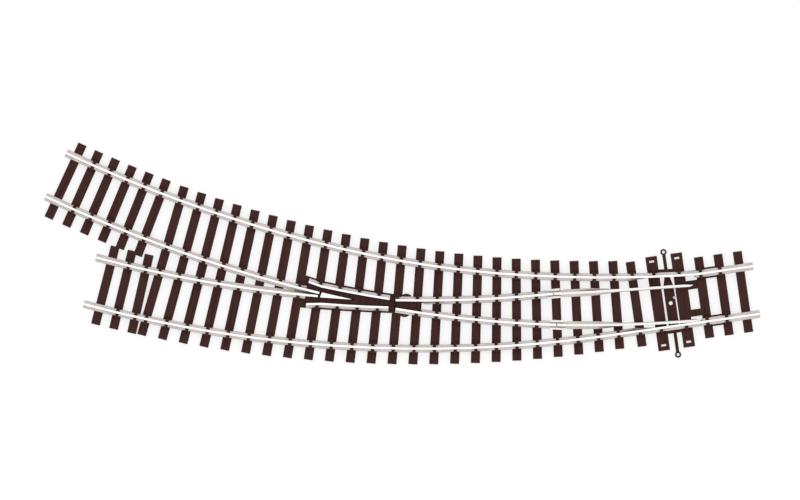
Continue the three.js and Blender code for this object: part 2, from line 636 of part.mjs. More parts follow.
// Frog floor: a plate from the blunt end to a sleeper past the flares, with a ledge beyond the wings.
const frogSleeper = longSleepers[16];
const frogLeft = {
  inner: crossing(INNER_ROUTE, frogSleeper, 140, 190),
  outer: crossing(OUTER_ROUTE, frogSleeper, 140, 190),
};
const wingOuterEdge = ({ form, sign }, distance) => (
  sign * (Math.min(wingShift(form, distance), form.offsets[0]) + LEDGE));
const wingEdgePoints = ({ route, form, sign, throat }, to, edge) => route.line
  .stations(form.start - throat - 2 * THROAT.gap, to, [form.flare])
  .map((distance) => route.line.at(distance, route.offset + edge({ form, sign }, distance)).point);
const floorOutline = [
  ...wingEdgePoints(WINGS.inner, frogLeft.inner, wingOuterEdge),
  ...wingEdgePoints(WINGS.outer, frogLeft.outer, wingOuterEdge).reverse(),
];
basePieces.push(prism(floorOutline, 0, SLEEPER_HEIGHT));

// Raised floor between the wings and around the vee, at the depth where wheel flanges run.
const wingInnerEdge = ({ form, sign }, distance) => (
  sign * (wingShift(form, distance) - FULL_SIDE.head - SIDE_FIT));
const betweenWings = [
  ...wingEdgePoints(WINGS.inner, INFILL.inner, wingInnerEdge),
  ...wingEdgePoints(WINGS.outer, INFILL.outer, wingInnerEdge).reverse(),
];
const closureFace = FULL_SIDE.head + SIDE_FIT;
const closureEdge = (line, from, to, offset) => (
  line.stations(from, to).map((distance) => line.at(distance, offset).point));
const betweenClosures = [
  ...closureEdge(outerLine, INFILL.blunt.outer, CLOSURE_END.outer, OUTER_ROUTE.offset + closureFace),
  ...closureEdge(innerLine, INFILL.blunt.inner, CLOSURE_END.inner, INNER_ROUTE.offset - closureFace)
    .reverse(),
];
const infillBottom = SLEEPER_HEIGHT - SIDE_FIT;
const veeSpan = [
  NOSE_TIP.inner - INFILL.tipRoom,
  NOSE_TIP.outer - INFILL.tipRoom,
  INFILL.inner + INFILL.beyond,
  INFILL.outer + INFILL.beyond,
];
const veeClearance = prism(veeOutline(...veeSpan, SIDE_FIT), SLEEPER_HEIGHT, INFILL.top + 1);
const infill = cut(join([
  prism(betweenWings, infillBottom, INFILL.top),
  prism(betweenClosures, infillBottom, INFILL.top),
  prism(betweenClosures, 0, SLEEPER_HEIGHT),
]), [veeClearance]);

// Bosses under the closure rails, where the wires are soldered on.
const bossPoints = {
  inner: innerLine.at(BOSS.inner, INNER_ROUTE.offset).point,
  outer: outerLine.at(BOSS.outer, OUTER_ROUTE.offset).point,
};
for (const point of Object.values(bossPoints)) {
  basePieces.push(disc(point, BOSS.radius, 0, SLEEPER_HEIGHT, 24));
}

// Chairs. Stock rails have none on the inside where the blades lie, and none at the outermost sleepers.
const betweenX = (x, low, high) => x > low && x < high;
const underBoth = [...toeSleepers.slice(1), switchEndSleeper, ...longSleepers];
const stockSpecs = [
  { route: STOCK_ROUTES.inner, outside: -1, sleepers: [...underBoth, ...innerLeg.slice(0, -1)] },
  { route: STOCK_ROUTES.outer, outside: 1, sleepers: [...underBoth, ...outerLeg.slice(0, -1)] },
];
for (const { route, outside, sleepers } of stockSpecs) {
  for (const sleeper of sleepers) {
    const distance = crossing(route, sleeper, 0, INNER_LENGTH);
    const { x } = route.line.at(distance).point;
    basePieces.push(chair(route, distance, outside));
    if (!betweenX(x, STOCK_CUT.heelX - CHAIR.half, STOCK_CUT.toeX + CHAIR.half)) {
      basePieces.push(chair(route, distance, -outside));
    }
  }
  for (const x of [HEADBLOCK.toeX, HEADBLOCK.heelX]) basePieces.push(chair(route, atX(x), outside));
}

const closureSpecs = [
  { route: INNER_ROUTE, outside: 1, blunt: INFILL.blunt.inner, end: CLOSURE_END.inner },
  { route: OUTER_ROUTE, outside: -1, blunt: INFILL.blunt.outer, end: CLOSURE_END.outer },
];
for (const { route, outside, blunt, end } of closureSpecs) {
  for (const sleeper of longSleepers.slice(4)) {
    const distance = crossing(route, sleeper, 60, 250);
    if (distance > end - CHAIR.half) break;
    basePieces.push(chair(route, distance, outside));
    if (distance < blunt - 2 * CHAIR.half) basePieces.push(chair(route, distance, -outside));
  }
}
for (const { route, form, sign } of Object.values(WINGS)) {
  for (const sleeper of longSleepers.slice(12, 16)) {
    const distance = crossing(route, sleeper, 100, 200);
    basePieces.push(chair(route, distance, sign, sign * wingShift(form, distance)));
  }
}
const veeSpecs = [
  { route: INNER_ROUTE, outside: -1, own: innerLeg },
  { route: OUTER_ROUTE, outside: 1, own: outerLeg },
];
for (const { route, outside, own } of veeSpecs) {
  const shared = longSleepers.slice(VEE_CHAIRS.first);
  for (const [index, sleeper] of [...shared, ...own.slice(0, -1)].entries()) {
    const distance = crossing(route, sleeper, 140, INNER_LENGTH);
    basePieces.push(chair(route, distance, outside));
    if (index + VEE_CHAIRS.first >= VEE_CHAIRS.bothFrom) basePieces.push(chair(route, distance, -outside));
  }
}

// Cuts in the base: lug slots, seats for the blade joiners, the spring's pocket and the wire grooves.
const baseCuts = [];
for (const x of [HEADBLOCK.toeX, HEADBLOCK.heelX]) {
  for (const y of [LUG_SLOT.inner, LUG_SLOT.outer]) {
    const slotX = [x - LUG_SLOT.half, x + LUG_SLOT.half];
    baseCuts.push(box(slotX, [y - LUG_SLOT.halfWidth, y + LUG_SLOT.halfWidth], [-1, SLEEPER_HEIGHT + 1]));
  }
}
const joinerSeatHalf = JOINER.inside + JOINER.wall + SIDE_FIT;
for (const { route, heel } of Object.values(BLADES)) {
  const middle = heel + HEEL_GAP / 2;
  const seat = [middle - JOINER.half - SIDE_FIT, middle + JOINER.half + SIDE_FIT];
  baseCuts.push(strip(route.line, ...seat, route.offset - joinerSeatHalf, route.offset + joinerSeatHalf,
    JOINER.bottom - FIT, SLEEPER_HEIGHT + 1));
}
const pivotPoint = new THREE.Vector2(SPRING.pivotX, SPRING_NOTCH.y + THROW / 2);
baseCuts.push(box(POCKET.x, POCKET.y, [-1, POCKET.top]));
baseCuts.push(disc(pivotPoint, SPRING.pivotHole, 0, SPRING.legTop + SIDE_FIT, 12));
const grow = ([low, high]) => [low - COVER.clearance, high + COVER.clearance];
baseCuts.push(box(grow(COVER.x), grow(COVER.y), [-1, COVER.top + FIT]));

// Jumper wires run in grooves under the frog, from a closure rail to the vee rail in line with it.
const wireEnd = (route) => crossing(route, longSleepers[WIRE_END_SLEEPER], 140, 220);
const wires = [
  { name: 'inner_jumper_wire', route: INNER_ROUTE, from: BOSS.inner, level: WIRE_LEVEL.inner },
  { name: 'outer_jumper_wire', route: OUTER_ROUTE, from: BOSS.outer, level: WIRE_LEVEL.outer },
];
for (const { name, route, from, level } of wires) {
  const to = wireEnd(route);
  const { line, offset } = route;
  baseCuts.push(strip(line, from, to, offset - WIRE.groove, offset + WIRE.groove, -1, level + WIRE.groove));
  for (const end of [from, to]) {
    baseCuts.push(disc(line.at(end, offset).point, RISER_RADIUS, -1, SLEEPER_HEIGHT + 1, 12));
  }
  const lift = (distance, height) => {
    const { point } = line.at(distance, offset);
    return new THREE.Vector3(point.x, point.y, height);
  };
  const run = line.stations(from + 1, to - 1).map((distance) => lift(distance, level));
  const rise = (distance) => [lift(distance, WIRE.top), lift(distance, level + WIRE.groove)];
  const points = [...rise(from), ...run, ...rise(to).reverse()];
  addNode(name, wire(points, WIRE.radius, 4 * points.length), COPPER_FINISH);
}
addNode('sleeper_base', fromManifold(cut(join(basePieces).add(infill), baseCuts)), PLASTIC_FINISH);

// ---- Blade joiners: folded clips round the feet of blade and closure rail ----
function joinerGeometry({ route, heel }) {
  const { inside, wall, bottom, lipEnd, lipUnder } = JOINER;
  const side = (sign) => [
    [sign * lipEnd, lipUnder],
    [sign * inside, lipUnder],
    [sign * inside, SLEEPER_HEIGHT],
  ];
  const outer = inside + wall;
  const outline = [
    ...side(-1),
    ...side(1).reverse(),
    [lipEnd, lipUnder + wall],
    [outer, lipUnder + wall],
    [outer, bottom],
    [-outer, bottom],
    [-outer, lipUnder + wall],
    [-lipEnd, lipUnder + wall],
  ];
  const middle = heel + HEEL_GAP / 2;
  const ends = [middle - JOINER.half, middle + JOINER.half];
  return loft(ends.map((at) => ({ ...route.line.at(at, route.offset), outline })));
}
addNode('inner_route_blade_joiner', joinerGeometry(BLADES.inner), RAIL_FINISH);
addNode('outer_route_blade_joiner', joinerGeometry(BLADES.outer), RAIL_FINISH);

// ---- Tie bar, spring and cover ----
function tieBarOutline(low, high) {
  const { half, rodHalf } = TIE_BAR;
  const halfAt = (y) => (y > 0
    ? ramp(y, TIE_PLAN.taper, TIE_PLAN.rod, half, rodHalf)
    : ramp(y, TIE_PLAN.outerRod, TIE_PLAN.outerTaper, rodHalf, half));
  const levels = [low, TIE_PLAN.outerTaper, TIE_PLAN.taper, TIE_PLAN.rod, high];
  const kept = [...new Set(levels.filter((y) => y >= low && y <= high))];
  const right = kept.map((y) => new THREE.Vector2(TIE_BAR.x + halfAt(y), y));
  const left = kept.map((y) => new THREE.Vector2(TIE_BAR.x - halfAt(y), y)).reverse();
  return [...right, ...left];
}
const centre = (y) => new THREE.Vector2(TIE_BAR.x, y);
const rod = (low, high) => bar(centre(low), centre(high), TIE_BAR.rodHalf, TIE_BAR.bottom, TIE_BAR.rodTop);
const tieBody = join([
  prism(tieBarOutline(TIE_PLAN.outerTaper, TIE_PLAN.thickEnd), TIE_BAR.bottom, TIE_BAR.top),
  prism(tieBarOutline(TIE_PLAN.outerRod, TIE_PLAN.rod), TIE_BAR.bottom, TIE_BAR.rodTop),
  rod(TIE_PLAN.rod - 1, RING.inner),
  rod(RING.outer, TIE_PLAN.outerRod + 1),
  disc(centre(RING.inner), RING.radius, TIE_BAR.bottom, TIE_BAR.rodTop, 24),
  disc(centre(RING.outer), RING.radius, TIE_BAR.bottom, TIE_BAR.rodTop, 24),
]);
const pinSlot = (blade) => {
  const { x, y } = pinAtRest(blade);
  const [halfX, halfY] = PIN.slot;
  return box([x - halfX, x + halfX], [y - halfY, y + halfY], [-1, SLEEPER_HEIGHT]);
};
const notchPoint = new THREE.Vector2(SPRING_NOTCH.x, SPRING_NOTCH.y);
const notchMouth = [SPRING_NOTCH.x, TIE_BAR.x + TIE_BAR.half + 1];
const notchSides = [SPRING_NOTCH.y - SPRING_NOTCH.radius, SPRING_NOTCH.y + SPRING_NOTCH.radius];
addNode('tie_bar', fromManifold(cut(tieBody, [
  disc(centre(DRIVE_HOLE.y), DRIVE_HOLE.radius, -1, SLEEPER_HEIGHT, 20),
  disc(centre(RING.inner), RING.hole, -1, SLEEPER_HEIGHT, 16),
  disc(centre(RING.outer), RING.hole, -1, SLEEPER_HEIGHT, 16),
  disc(notchPoint, SPRING_NOTCH.radius, -1, SLEEPER_HEIGHT, 12),
  box(notchMouth, notchSides, [-1, SLEEPER_HEIGHT]),
  pinSlot(BLADES.inner),
  pinSlot(BLADES.outer),
])), PLASTIC_FINISH);

// Omega-shaped spring, from a leg in the headblock to a leg in the tie bar's notch.
const springReach = notchPoint.clone().sub(pivotPoint);
const alongSpring = springReach.clone().normalize();
const besideSpring = new THREE.Vector2(alongSpring.y, -alongSpring.x);
const springPoint = (along, beside, height) => {
  const flat = pivotPoint.clone().addScaledVector(alongSpring, along).addScaledVector(besideSpring, beside);
  return new THREE.Vector3(flat.x, flat.y, height);
};
const reach = springReach.length();
addNode('over_centre_spring', wire([
  springPoint(0, 0, SPRING.legTop),
  springPoint(0, 0, SPRING.z + SPRING.bend),
  ...SPRING_LOOP.map(([along, beside]) => springPoint(along, beside, SPRING.z)),
  springPoint(reach - SPRING.bend, 0, SPRING.z),
  springPoint(reach, 0, SPRING.z + SPRING.bend),
  springPoint(reach, 0, SPRING.legTop),
], SPRING.radius, 48), SPRING_FINISH);
addNode('spring_cover_plate', box(COVER.x, COVER.y, [COVER.bottom, COVER.top]), SPRING_FINISH);

export default group;
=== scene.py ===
"""Curved model railway turnout: the look of every piece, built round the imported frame.

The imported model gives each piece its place, in metres. This script refines the mesh of each CAD
piece, adds the moulded seats that clip over the rail feet, and dresses everything in procedural
finishes. Sizes in the classes below are in millimetres unless a name says otherwise.
"""
import logging
import math
from dataclasses import dataclass, field
from enum import Enum
from typing import Any, Iterable, Union

import bmesh
import bpy
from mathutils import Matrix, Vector


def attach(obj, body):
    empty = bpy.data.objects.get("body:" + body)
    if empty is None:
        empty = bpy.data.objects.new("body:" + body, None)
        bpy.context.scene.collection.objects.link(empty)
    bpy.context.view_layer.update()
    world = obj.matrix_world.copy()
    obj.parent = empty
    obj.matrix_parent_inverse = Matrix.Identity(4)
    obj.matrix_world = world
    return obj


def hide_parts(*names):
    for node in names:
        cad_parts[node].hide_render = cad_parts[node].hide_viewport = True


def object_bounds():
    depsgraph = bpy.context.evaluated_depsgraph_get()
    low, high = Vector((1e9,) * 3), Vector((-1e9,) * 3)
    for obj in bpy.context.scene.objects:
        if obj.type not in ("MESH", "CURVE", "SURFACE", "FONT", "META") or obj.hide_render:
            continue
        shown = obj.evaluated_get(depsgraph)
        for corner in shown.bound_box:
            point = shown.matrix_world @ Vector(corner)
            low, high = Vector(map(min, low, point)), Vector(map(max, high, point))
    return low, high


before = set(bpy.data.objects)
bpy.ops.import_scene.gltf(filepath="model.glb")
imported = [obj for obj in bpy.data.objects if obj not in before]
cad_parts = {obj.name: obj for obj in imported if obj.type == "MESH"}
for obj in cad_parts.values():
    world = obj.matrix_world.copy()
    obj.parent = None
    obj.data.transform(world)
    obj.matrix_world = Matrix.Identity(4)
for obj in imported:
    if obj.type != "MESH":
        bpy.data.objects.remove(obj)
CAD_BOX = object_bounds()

LOG = logging.getLogger("turnout")
MM = 0.001
WELD_M = 2e-7
COPLANAR_DEG = 0.4
ROUNDED_FROM_DEG = 50
LEVEL_NORMAL = 0.99
LEVEL_MISS_MM = 0.01
NOTHING_LEFT_MM = 1e-9
BEYOND_END_WEIGHT = 4.0
GRAIN_SHIFT_MM = 7.3
PLASTIC_SHEEN = 0.08
GRAIN_ATTRIBUTE = "sleeper_grain"
Colour = tuple[float, float, float]


# ---- Shader maths ----
class Value:
    """A shader socket that can be used in arithmetic."""

    def __init__(self, graph: "Graph", socket: bpy.types.NodeSocket) -> None:
        """Keeps the socket and the graph that it belongs to."""
        self.graph = graph
        self.socket = socket

    def _math(self, operation: str, *inputs: "Number") -> "Value":
        """Adds a Math node for these inputs."""
        settings = {"operation": operation}
        return self.graph.node("ShaderNodeMath", settings, dict(enumerate(inputs)))

    def __add__(self, other: "Number") -> "Value":
        """self + other."""
        return self._math("ADD", self, other)

    __radd__ = __add__

    def __sub__(self, other: "Number") -> "Value":
        """self - other."""
        return self._math("SUBTRACT", self, other)

    def __rsub__(self, other: "Number") -> "Value":
        """other - self."""
        return self._math("SUBTRACT", other, self)

    def __mul__(self, other: "Number") -> "Value":
        """self * other."""
        return self._math("MULTIPLY", self, other)

    __rmul__ = __mul__

    def __truediv__(self, other: "Number") -> "Value":
        """self / other."""
        return self._math("DIVIDE", self, other)

    def __rtruediv__(self, other: "Number") -> "Value":
        """other / self."""
        return self._math("DIVIDE", other, self)

    def clamped(self) -> "Value":
        """The value held between 0 and 1."""
        return self._math("MINIMUM", self._math("MAXIMUM", self, 0.0), 1.0)

    def step(self, low: float, high: float) -> "Value":
        """Rises evenly from 0 at low to 1 at high.

        Args:
            low: value at which the result is 0.
            high: value at which the result is 1.

        Returns:
            The ramped value, held between 0 and 1.
        """
        return ((self - low) / (high - low)).clamped()


Number = Union[float, Value]


class Graph:
    """Node tree of one material, with a Principled shader at its end."""

    def __init__(self, name: str) -> None:
        """Makes the material and its shader."""
        self.material = bpy.data.materials.new(name)
        self.material.use_nodes = True
        self.tree = self.material.node_tree
        self.tree.nodes.clear()
        output = self.tree.nodes.new("ShaderNodeOutputMaterial")
        self.shader = self.tree.nodes.new("ShaderNodeBsdfPrincipled")
        self.tree.links.new(self.shader.outputs[0], output.inputs[0])

    def node(
        self, kind: str, settings: dict[str, Any], inputs: dict[Any, Any], output: Any = 0
    ) -> Value:
        """Adds a node.

        Args:
            kind: node type.
            settings: node properties, set before the inputs.
            inputs: socket name or index to a number, colour or Value.
            output: name or index of the output that is returned.

        Returns:
            The chosen output.
        """
        made = self.tree.nodes.new(kind)
        for name, value in settings.items():
            setattr(made, name, value)
        for key, value in inputs.items():
            self.feed(made.inputs[key], value)
        return Value(self, made.outputs[output])

    def feed(self, socket: bpy.types.NodeSocket, value: Any) -> None:
        """Links or sets one input socket."""
        if isinstance(value, Value):
            self.tree.links.new(value.socket, socket)
        elif isinstance(value, tuple) and socket.type == "RGBA":
            socket.default_value = (*value, 1.0)
        else:
            socket.default_value = value

    def position(self) -> Value:
        """Place on the piece, in metres in the part's own frame."""
        return self.node("ShaderNodeTexCoord", {}, {}, "Object")

    def axis(self, vector: Value, letter: str) -> Value:
        """One component of a vector."""
        return self.node("ShaderNodeSeparateXYZ", {}, {0: vector}, letter)

    def noise(
        self, place: Value, per_mm: float, detail: float = 4.0, roughness: float = 0.55
    ) -> Value:
        """Fine noise over a place in metres.

        Args:
            place: coordinates in metres.
            per_mm: how many waves there are to a millimetre.
            detail: number of octaves.
            roughness: strength of the finer octaves.

        Returns:
            The noise, from 0 to 1.
        """
        inputs = {"Vector": place, "Scale": per_mm / MM, "Detail": detail, "Roughness": roughness}
        return self.node("ShaderNodeTexNoise", {}, inputs, "Fac")

    def stretched(self, place: Value, scale: tuple[float, float, float]) -> Value:
        """Coordinates multiplied axis by axis."""
        return self.node("ShaderNodeVectorMath", {"operation": "MULTIPLY"}, {0: place, 1: scale})

    def slope(self, level: float, steep: float) -> Value:
        """How far the surface leans from lying flat, face up.

        Args:
            level: upward part of the normal at which the result is 0.
            steep: upward part of the normal at which the result is 1.

        Returns:
            The lean, from 0 to 1.
        """
        up = self.axis(self.node("ShaderNodeNewGeometry", {}, {}, "Normal"), "Z")
        return up.step(level, steep)

    def painted_edge_shade(self) -> Value:
        """Mask of painted shade by lean: strong on the rounded edges round a top face and weak on the
        walls below them.
        """
        return self.slope(0.985, 0.80) * (1.0 - self.slope(0.50, 0.20) * 0.7)

    def mix(self, amount: Number, first: Any, second: Any) -> Value:
        """Colour mixed from first to second by amount."""
        settings = {"data_type": "RGBA"}
        return self.node("ShaderNodeMix", settings, {0: amount, 6: first, 7: second}, 2)

    def bump(self, height: Value, depth_mm: float, strength: float = 1.0) -> None:
        """Feeds the shader's normal from a height.

        Args:
            height: relief from 0 to 1.
            depth_mm: depth of the relief.
            strength: how much of it shows.
        """
        inputs = {"Height": height, "Distance": depth_mm * MM, "Strength": strength}
        self.feed(self.shader.inputs["Normal"], self.node("ShaderNodeBump", {}, inputs))

    def surface(self, **sockets: Any) -> None:
        """Sets shader sockets by name, with spaces written as underscores."""
        for name, value in sockets.items():
            self.feed(self.shader.inputs[name.replace("_", " ")], value)


# ---- Finishes ----
@dataclass(frozen=True)
class SleeperPlastic:
    """Moulded brown plastic with a fine wood grain along each sleeper."""

    face: Colour = (0.0440, 0.0160, 0.0138)
    worn: Colour = (0.0580, 0.0232, 0.0198)
    # edge: colour of the painted shade on rounded edges and walls, and of the real cracks in the
    # grain
    edge: Colour = (0.0080, 0.0016, 0.0013)
    grain_mm: float = 0.05
    name: str = "sleeper_plastic"

    def material(self) -> bpy.types.Material:
        """Builds the material."""
        graph = Graph(self.name)
        grain = {"attribute_name": GRAIN_ATTRIBUTE}
        grain_at = graph.node("ShaderNodeAttribute", grain, {}, "Vector")
        fibres = graph.noise(graph.stretched(grain_at, (0.10, 1.0, 1.0)), 2.2, 5.0, 0.6)
        cracks = graph.noise(graph.stretched(grain_at, (0.05, 1.0, 1.0)), 1.1, 2.0, 0.4)
        checks = cracks.step(0.56, 0.72)
        tone = graph.noise(graph.stretched(grain_at, (0.0, 0.0, 1.0)), 0.37, 0.0)
        mottle = graph.noise(graph.position(), 0.16, 3.0)
        light = (fibres * 0.55 + tone * 0.6 + mottle * 0.35 - 0.42).clamped()
        colour = graph.mix(light, self.face, self.worn)
        # Painted shade: rounded edges and walls darkened towards the edge colour by their lean
        colour = graph.mix(graph.painted_edge_shade(), colour, self.edge)
        colour = graph.mix(checks * 0.4, colour, self.edge)
        speckle = graph.noise(graph.position(), 6.0, 2.0)
        relief = fibres * 0.55 + (1.0 - checks) * 0.45 + speckle * 0.12
        graph.bump(relief, self.grain_mm, 0.8)
        graph.surface(
            Base_Color=colour, Roughness=0.62 + speckle * 0.16, Specular_IOR_Level=PLASTIC_SHEEN)
        return graph.material


@dataclass(frozen=True)
class MouldedPlastic:
    """Plain moulded plastic with a faint spark-eroded texture."""

    name: str
    face: Colour
    # edge: colour of the painted shade on rounded edges and walls, and of the faint random darker
    # cloud
    edge: Colour
    roughness: float = 0.55

    def material(self) -> bpy.types.Material:
        """Builds the material."""
        graph = Graph(self.name)
        place = graph.position()
        cloud = graph.noise(place, 0.5, 3.0)
        speckle = graph.noise(place, 7.0, 2.0)
        colour = graph.mix(cloud.step(0.3, 0.7) * 0.2, self.face, self.edge)
        # Painted shade: rounded edges and walls darkened towards the edge colour by their lean
        colour = graph.mix(graph.painted_edge_shade() * 0.9, colour, self.edge)
        graph.bump(speckle, 0.02, 0.6)
        graph.surface(
            Base_Color=colour,
            Roughness=self.roughness + speckle * 0.12,
            Specular_IOR_Level=PLASTIC_SHEEN,
        )
        return graph.material


@dataclass(frozen=True)
class RailMetal:
    """Drawn nickel silver: bright where wheels run, warm grey and dull on web and foot."""

    name: str
    running: Colour
    foot: Colour = (0.65, 0.595, 0.565)
    tarnish: Colour = (0.50, 0.45, 0.42)
    # Colour of the painted shade on rounded edges and walls
    painted_edge_shade: Colour = (0.34, 0.31, 0.29)
    head_starts: float = 4.30

    def material(self) -> bpy.types.Material:
        """Builds the material."""
        graph = Graph(self.name)
        place = graph.position()
        height = graph.axis(place, "Z") / MM
        run = height.step(self.head_starts, self.head_starts + 0.15)
        cloud = graph.noise(place, 0.22, 4.0, 0.6)
        fine = graph.noise(place, 5.0, 3.0, 0.6)
        dull = graph.mix(cloud.step(0.42, 0.75) * 0.6, self.foot, self.tarnish)
        bright = graph.mix(cloud.step(0.5, 0.8) * 0.12, self.running, self.foot)
        # Painted shade: rounded edges and walls darkened by their lean, at three quarters strength
        colour = graph.mix(graph.painted_edge_shade() * 0.75, graph.mix(run, dull, bright), self.painted_edge_shade)
        graph.bump(fine, 0.012, 0.5)
        graph.surface(
            Base_Color=colour,
            Metallic=1.0,
            Roughness=0.46 - run * 0.14 + cloud * 0.12 + fine * 0.05,
        )
        return graph.material


@dataclass(frozen=True)
class PlainMetal:
    """Bare wire or sheet with faint drawing marks and a little tarnish."""

    name: str
    base: Colour
    tarnish: Colour
    roughness: float = 0.3

    def material(self) -> bpy.types.Material:
        """Builds the material."""
        graph = Graph(self.name)
        place = graph.position()
        cloud = graph.noise(place, 0.8, 3.0)
        marks = graph.noise(graph.stretched(place, (1.0, 0.15, 1.0)), 8.0, 2.0)
        graph.bump(marks, 0.008, 0.5)
        graph.surface(
            Base_Color=graph.mix(cloud.step(0.45, 0.8) * 0.7, self.base, self.tarnish),
            Metallic=1.0,
            Roughness=self.roughness + cloud * 0.15 + marks * 0.08,
        )
        return graph.material


@dataclass(frozen=True)
class StudioFloor:
    """Plain pale floor."""

    colour: Colour = (0.30, 0.30, 0.30)
    glow: float = 0.74
    name: str = "floor_paper"

    def material(self) -> bpy.types.Material:
        """Builds the material."""
        graph = Graph(self.name)
        graph.surface(
            Base_Color=self.colour, Roughness=0.9, Specular_IOR_Level=0.0,
            Emission_Color=(1.0, 1.0, 1.0), Emission_Strength=self.glow)
        return graph.material


class Finish(Enum):
    """The finishes, one material each."""

    SLEEPER = SleeperPlastic()
    TIE_BAR = MouldedPlastic(
        "tie_bar_plastic", (0.0470, 0.0178, 0.0152), (0.0080, 0.0016, 0.0013))
    THROAT = MouldedPlastic(
        "throat_plastic", (0.0520, 0.0215, 0.0185), (0.0080, 0.0016, 0.0013))
    VEE_GAP = MouldedPlastic(
        "vee_gap_plastic", (0.010, 0.009, 0.008), (0.004, 0.004, 0.004), 0.45)
    RAIL = RailMetal("rail_metal", (0.80, 0.795, 0.79))
    BLADE = RailMetal("blade_metal", (0.70, 0.685, 0.665))
    CLIP = PlainMetal("clip_metal", (0.72, 0.68, 0.65), (0.48, 0.42, 0.38), 0.34)
    SPRING = PlainMetal("spring_steel", (0.58, 0.57, 0.55), (0.36, 0.34, 0.32), 0.25)
    COVER = PlainMetal("cover_steel", (0.55, 0.54, 0.52), (0.38, 0.36, 0.34), 0.4)
    COPPER = PlainMetal("copper_wire", (0.80, 0.36, 0.18), (0.38, 0.16, 0.09), 0.3)
    FLOOR = StudioFloor()


class Paintbox:
    """Makes each finish's material once."""

    def __init__(self) -> None:
        """Starts with no materials made."""
        self._made: dict[Finish, bpy.types.Material] = {}

    def get(self, finish: Finish) -> bpy.types.Material:
        """The material of a finish."""
        if finish not in self._made:
            self._made[finish] = finish.value.material()
        return self._made[finish]


PAINT = Paintbox()


# ---- Meshes ----
def flat(vector: Vector) -> Vector:
    """The plan part of a vector."""
    return Vector((vector.x, vector.y))


@dataclass
class Refinement:
    """How a copy of a CAD mesh is softened.

    width is the size of the rounded edge; edges shorter than shortest stay sharp.
    """

    width: float = 0.08
    segments: int = 2
    shortest: float = 0.7
    sharpest_kept: float = 35.0


@dataclass
class Piece:
    """One visible piece that stands for a CAD node."""

    node: str
    body: str
    slot: str
    finish: Finish
    refinement: Refinement = field(default_factory=Refinement)

    def build(self) -> bpy.types.Object:
        """Copies the node's mesh, rounds its edges and dresses it.

        Returns:
            The finished object.
        """
        mesh = self._rounded()
        piece = bpy.data.objects.new(f"{self.node}_look", mesh)
        bpy.context.scene.collection.objects.link(piece)
        piece.data.materials.append(PAINT.get(self.finish))
        self._smooth(piece)
        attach(piece, self.body)
        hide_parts(self.node)
        LOG.info("%s: %d faces", piece.name, len(piece.data.polygons))
        return piece

    def _rounded(self) -> bpy.types.Mesh:
        """The node's mesh with its long outward edges rounded."""
        form = self.refinement
        work = bmesh.new()
        work.from_mesh(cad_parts[self.node].data)
        bmesh.ops.remove_doubles(work, verts=work.verts, dist=WELD_M)
        bmesh.ops.join_triangles(
            work, faces=work.faces, angle_face_threshold=math.radians(COPLANAR_DEG),
            angle_shape_threshold=math.radians(180), cmp_seam=False)
        edges = [
            edge for edge in work.edges
            if len(edge.link_faces) == 2
            and edge.is_convex
            and edge.calc_face_angle(0.0) > math.radians(ROUNDED_FROM_DEG)
            and edge.calc_length() > form.shortest * MM
        ]
        if edges and form.width:
            bmesh.ops.bevel(
                work, geom=edges, offset=form.width * MM, segments=form.segments, profile=0.5,
                affect="EDGES", clamp_overlap=True, miter_outer="SHARP")
        bmesh.ops.recalc_face_normals(work, faces=work.faces)
        mesh = bpy.data.meshes.new(f"{self.node}_look")
        work.to_mesh(mesh)
        work.free()
        return mesh

    def _smooth(self, piece: bpy.types.Object) -> None:
        """Smooths across shallow edges, with flat faces kept flat."""
        mesh = piece.data
        mesh.polygons.foreach_set("use_smooth", [True] * len(mesh.polygons))
        mesh.set_sharp_from_angle(angle=math.radians(self.refinement.sharpest_kept))
        weighted = piece.modifiers.new("even_faces", "WEIGHTED_NORMAL")
        weighted.keep_sharp = True
        bake_modifiers(piece)


def bake_modifiers(piece: bpy.types.Object) -> None:
    """Puts the result of a piece's modifiers into its mesh."""
    graph = bpy.context.evaluated_depsgraph_get()
    graph.update()
    result = bpy.data.meshes.new_from_object(piece.evaluated_get(graph), depsgraph=graph)
    piece.modifiers.clear()
    piece.data = result


# ---- Track geometry ----
@dataclass(frozen=True)
class Segment:
    """Straight, or arc towards +Y, with an optional sharp set in front of it."""

    length: float
    radius: float = 0.0
    turn: float = 0.0


@dataclass
class TrackLine:
    """Chain of segments that starts at the toe end and heads towards -X."""

    start: tuple[float, float]
    segments: tuple[Segment, ...]

    def at(self, distance: float, offset: float = 0.0) -> Vector:
        """Point at a distance along the line.

        Args:
            distance: from the toe end.
            offset: sideways, positive towards -Y.

        Returns:
            The plan point.
        """
        x, y = self.start
        heading, left = math.pi, distance
        for index, segment in enumerate(self.segments):
            heading -= math.radians(segment.turn)
            last = index == len(self.segments) - 1
            step = left if last else min(left, segment.length)
            bend = step / segment.radius if segment.radius else 0.0
            chord = 2 * segment.radius * math.sin(bend / 2) if segment.radius else step
            x += chord * math.cos(heading - bend / 2)
            y += chord * math.sin(heading - bend / 2)
            heading -= bend
            left -= step
            if left <= NOTHING_LEFT_MM:
                break
        return Vector((x - offset * math.sin(heading), y + offset * math.cos(heading)))


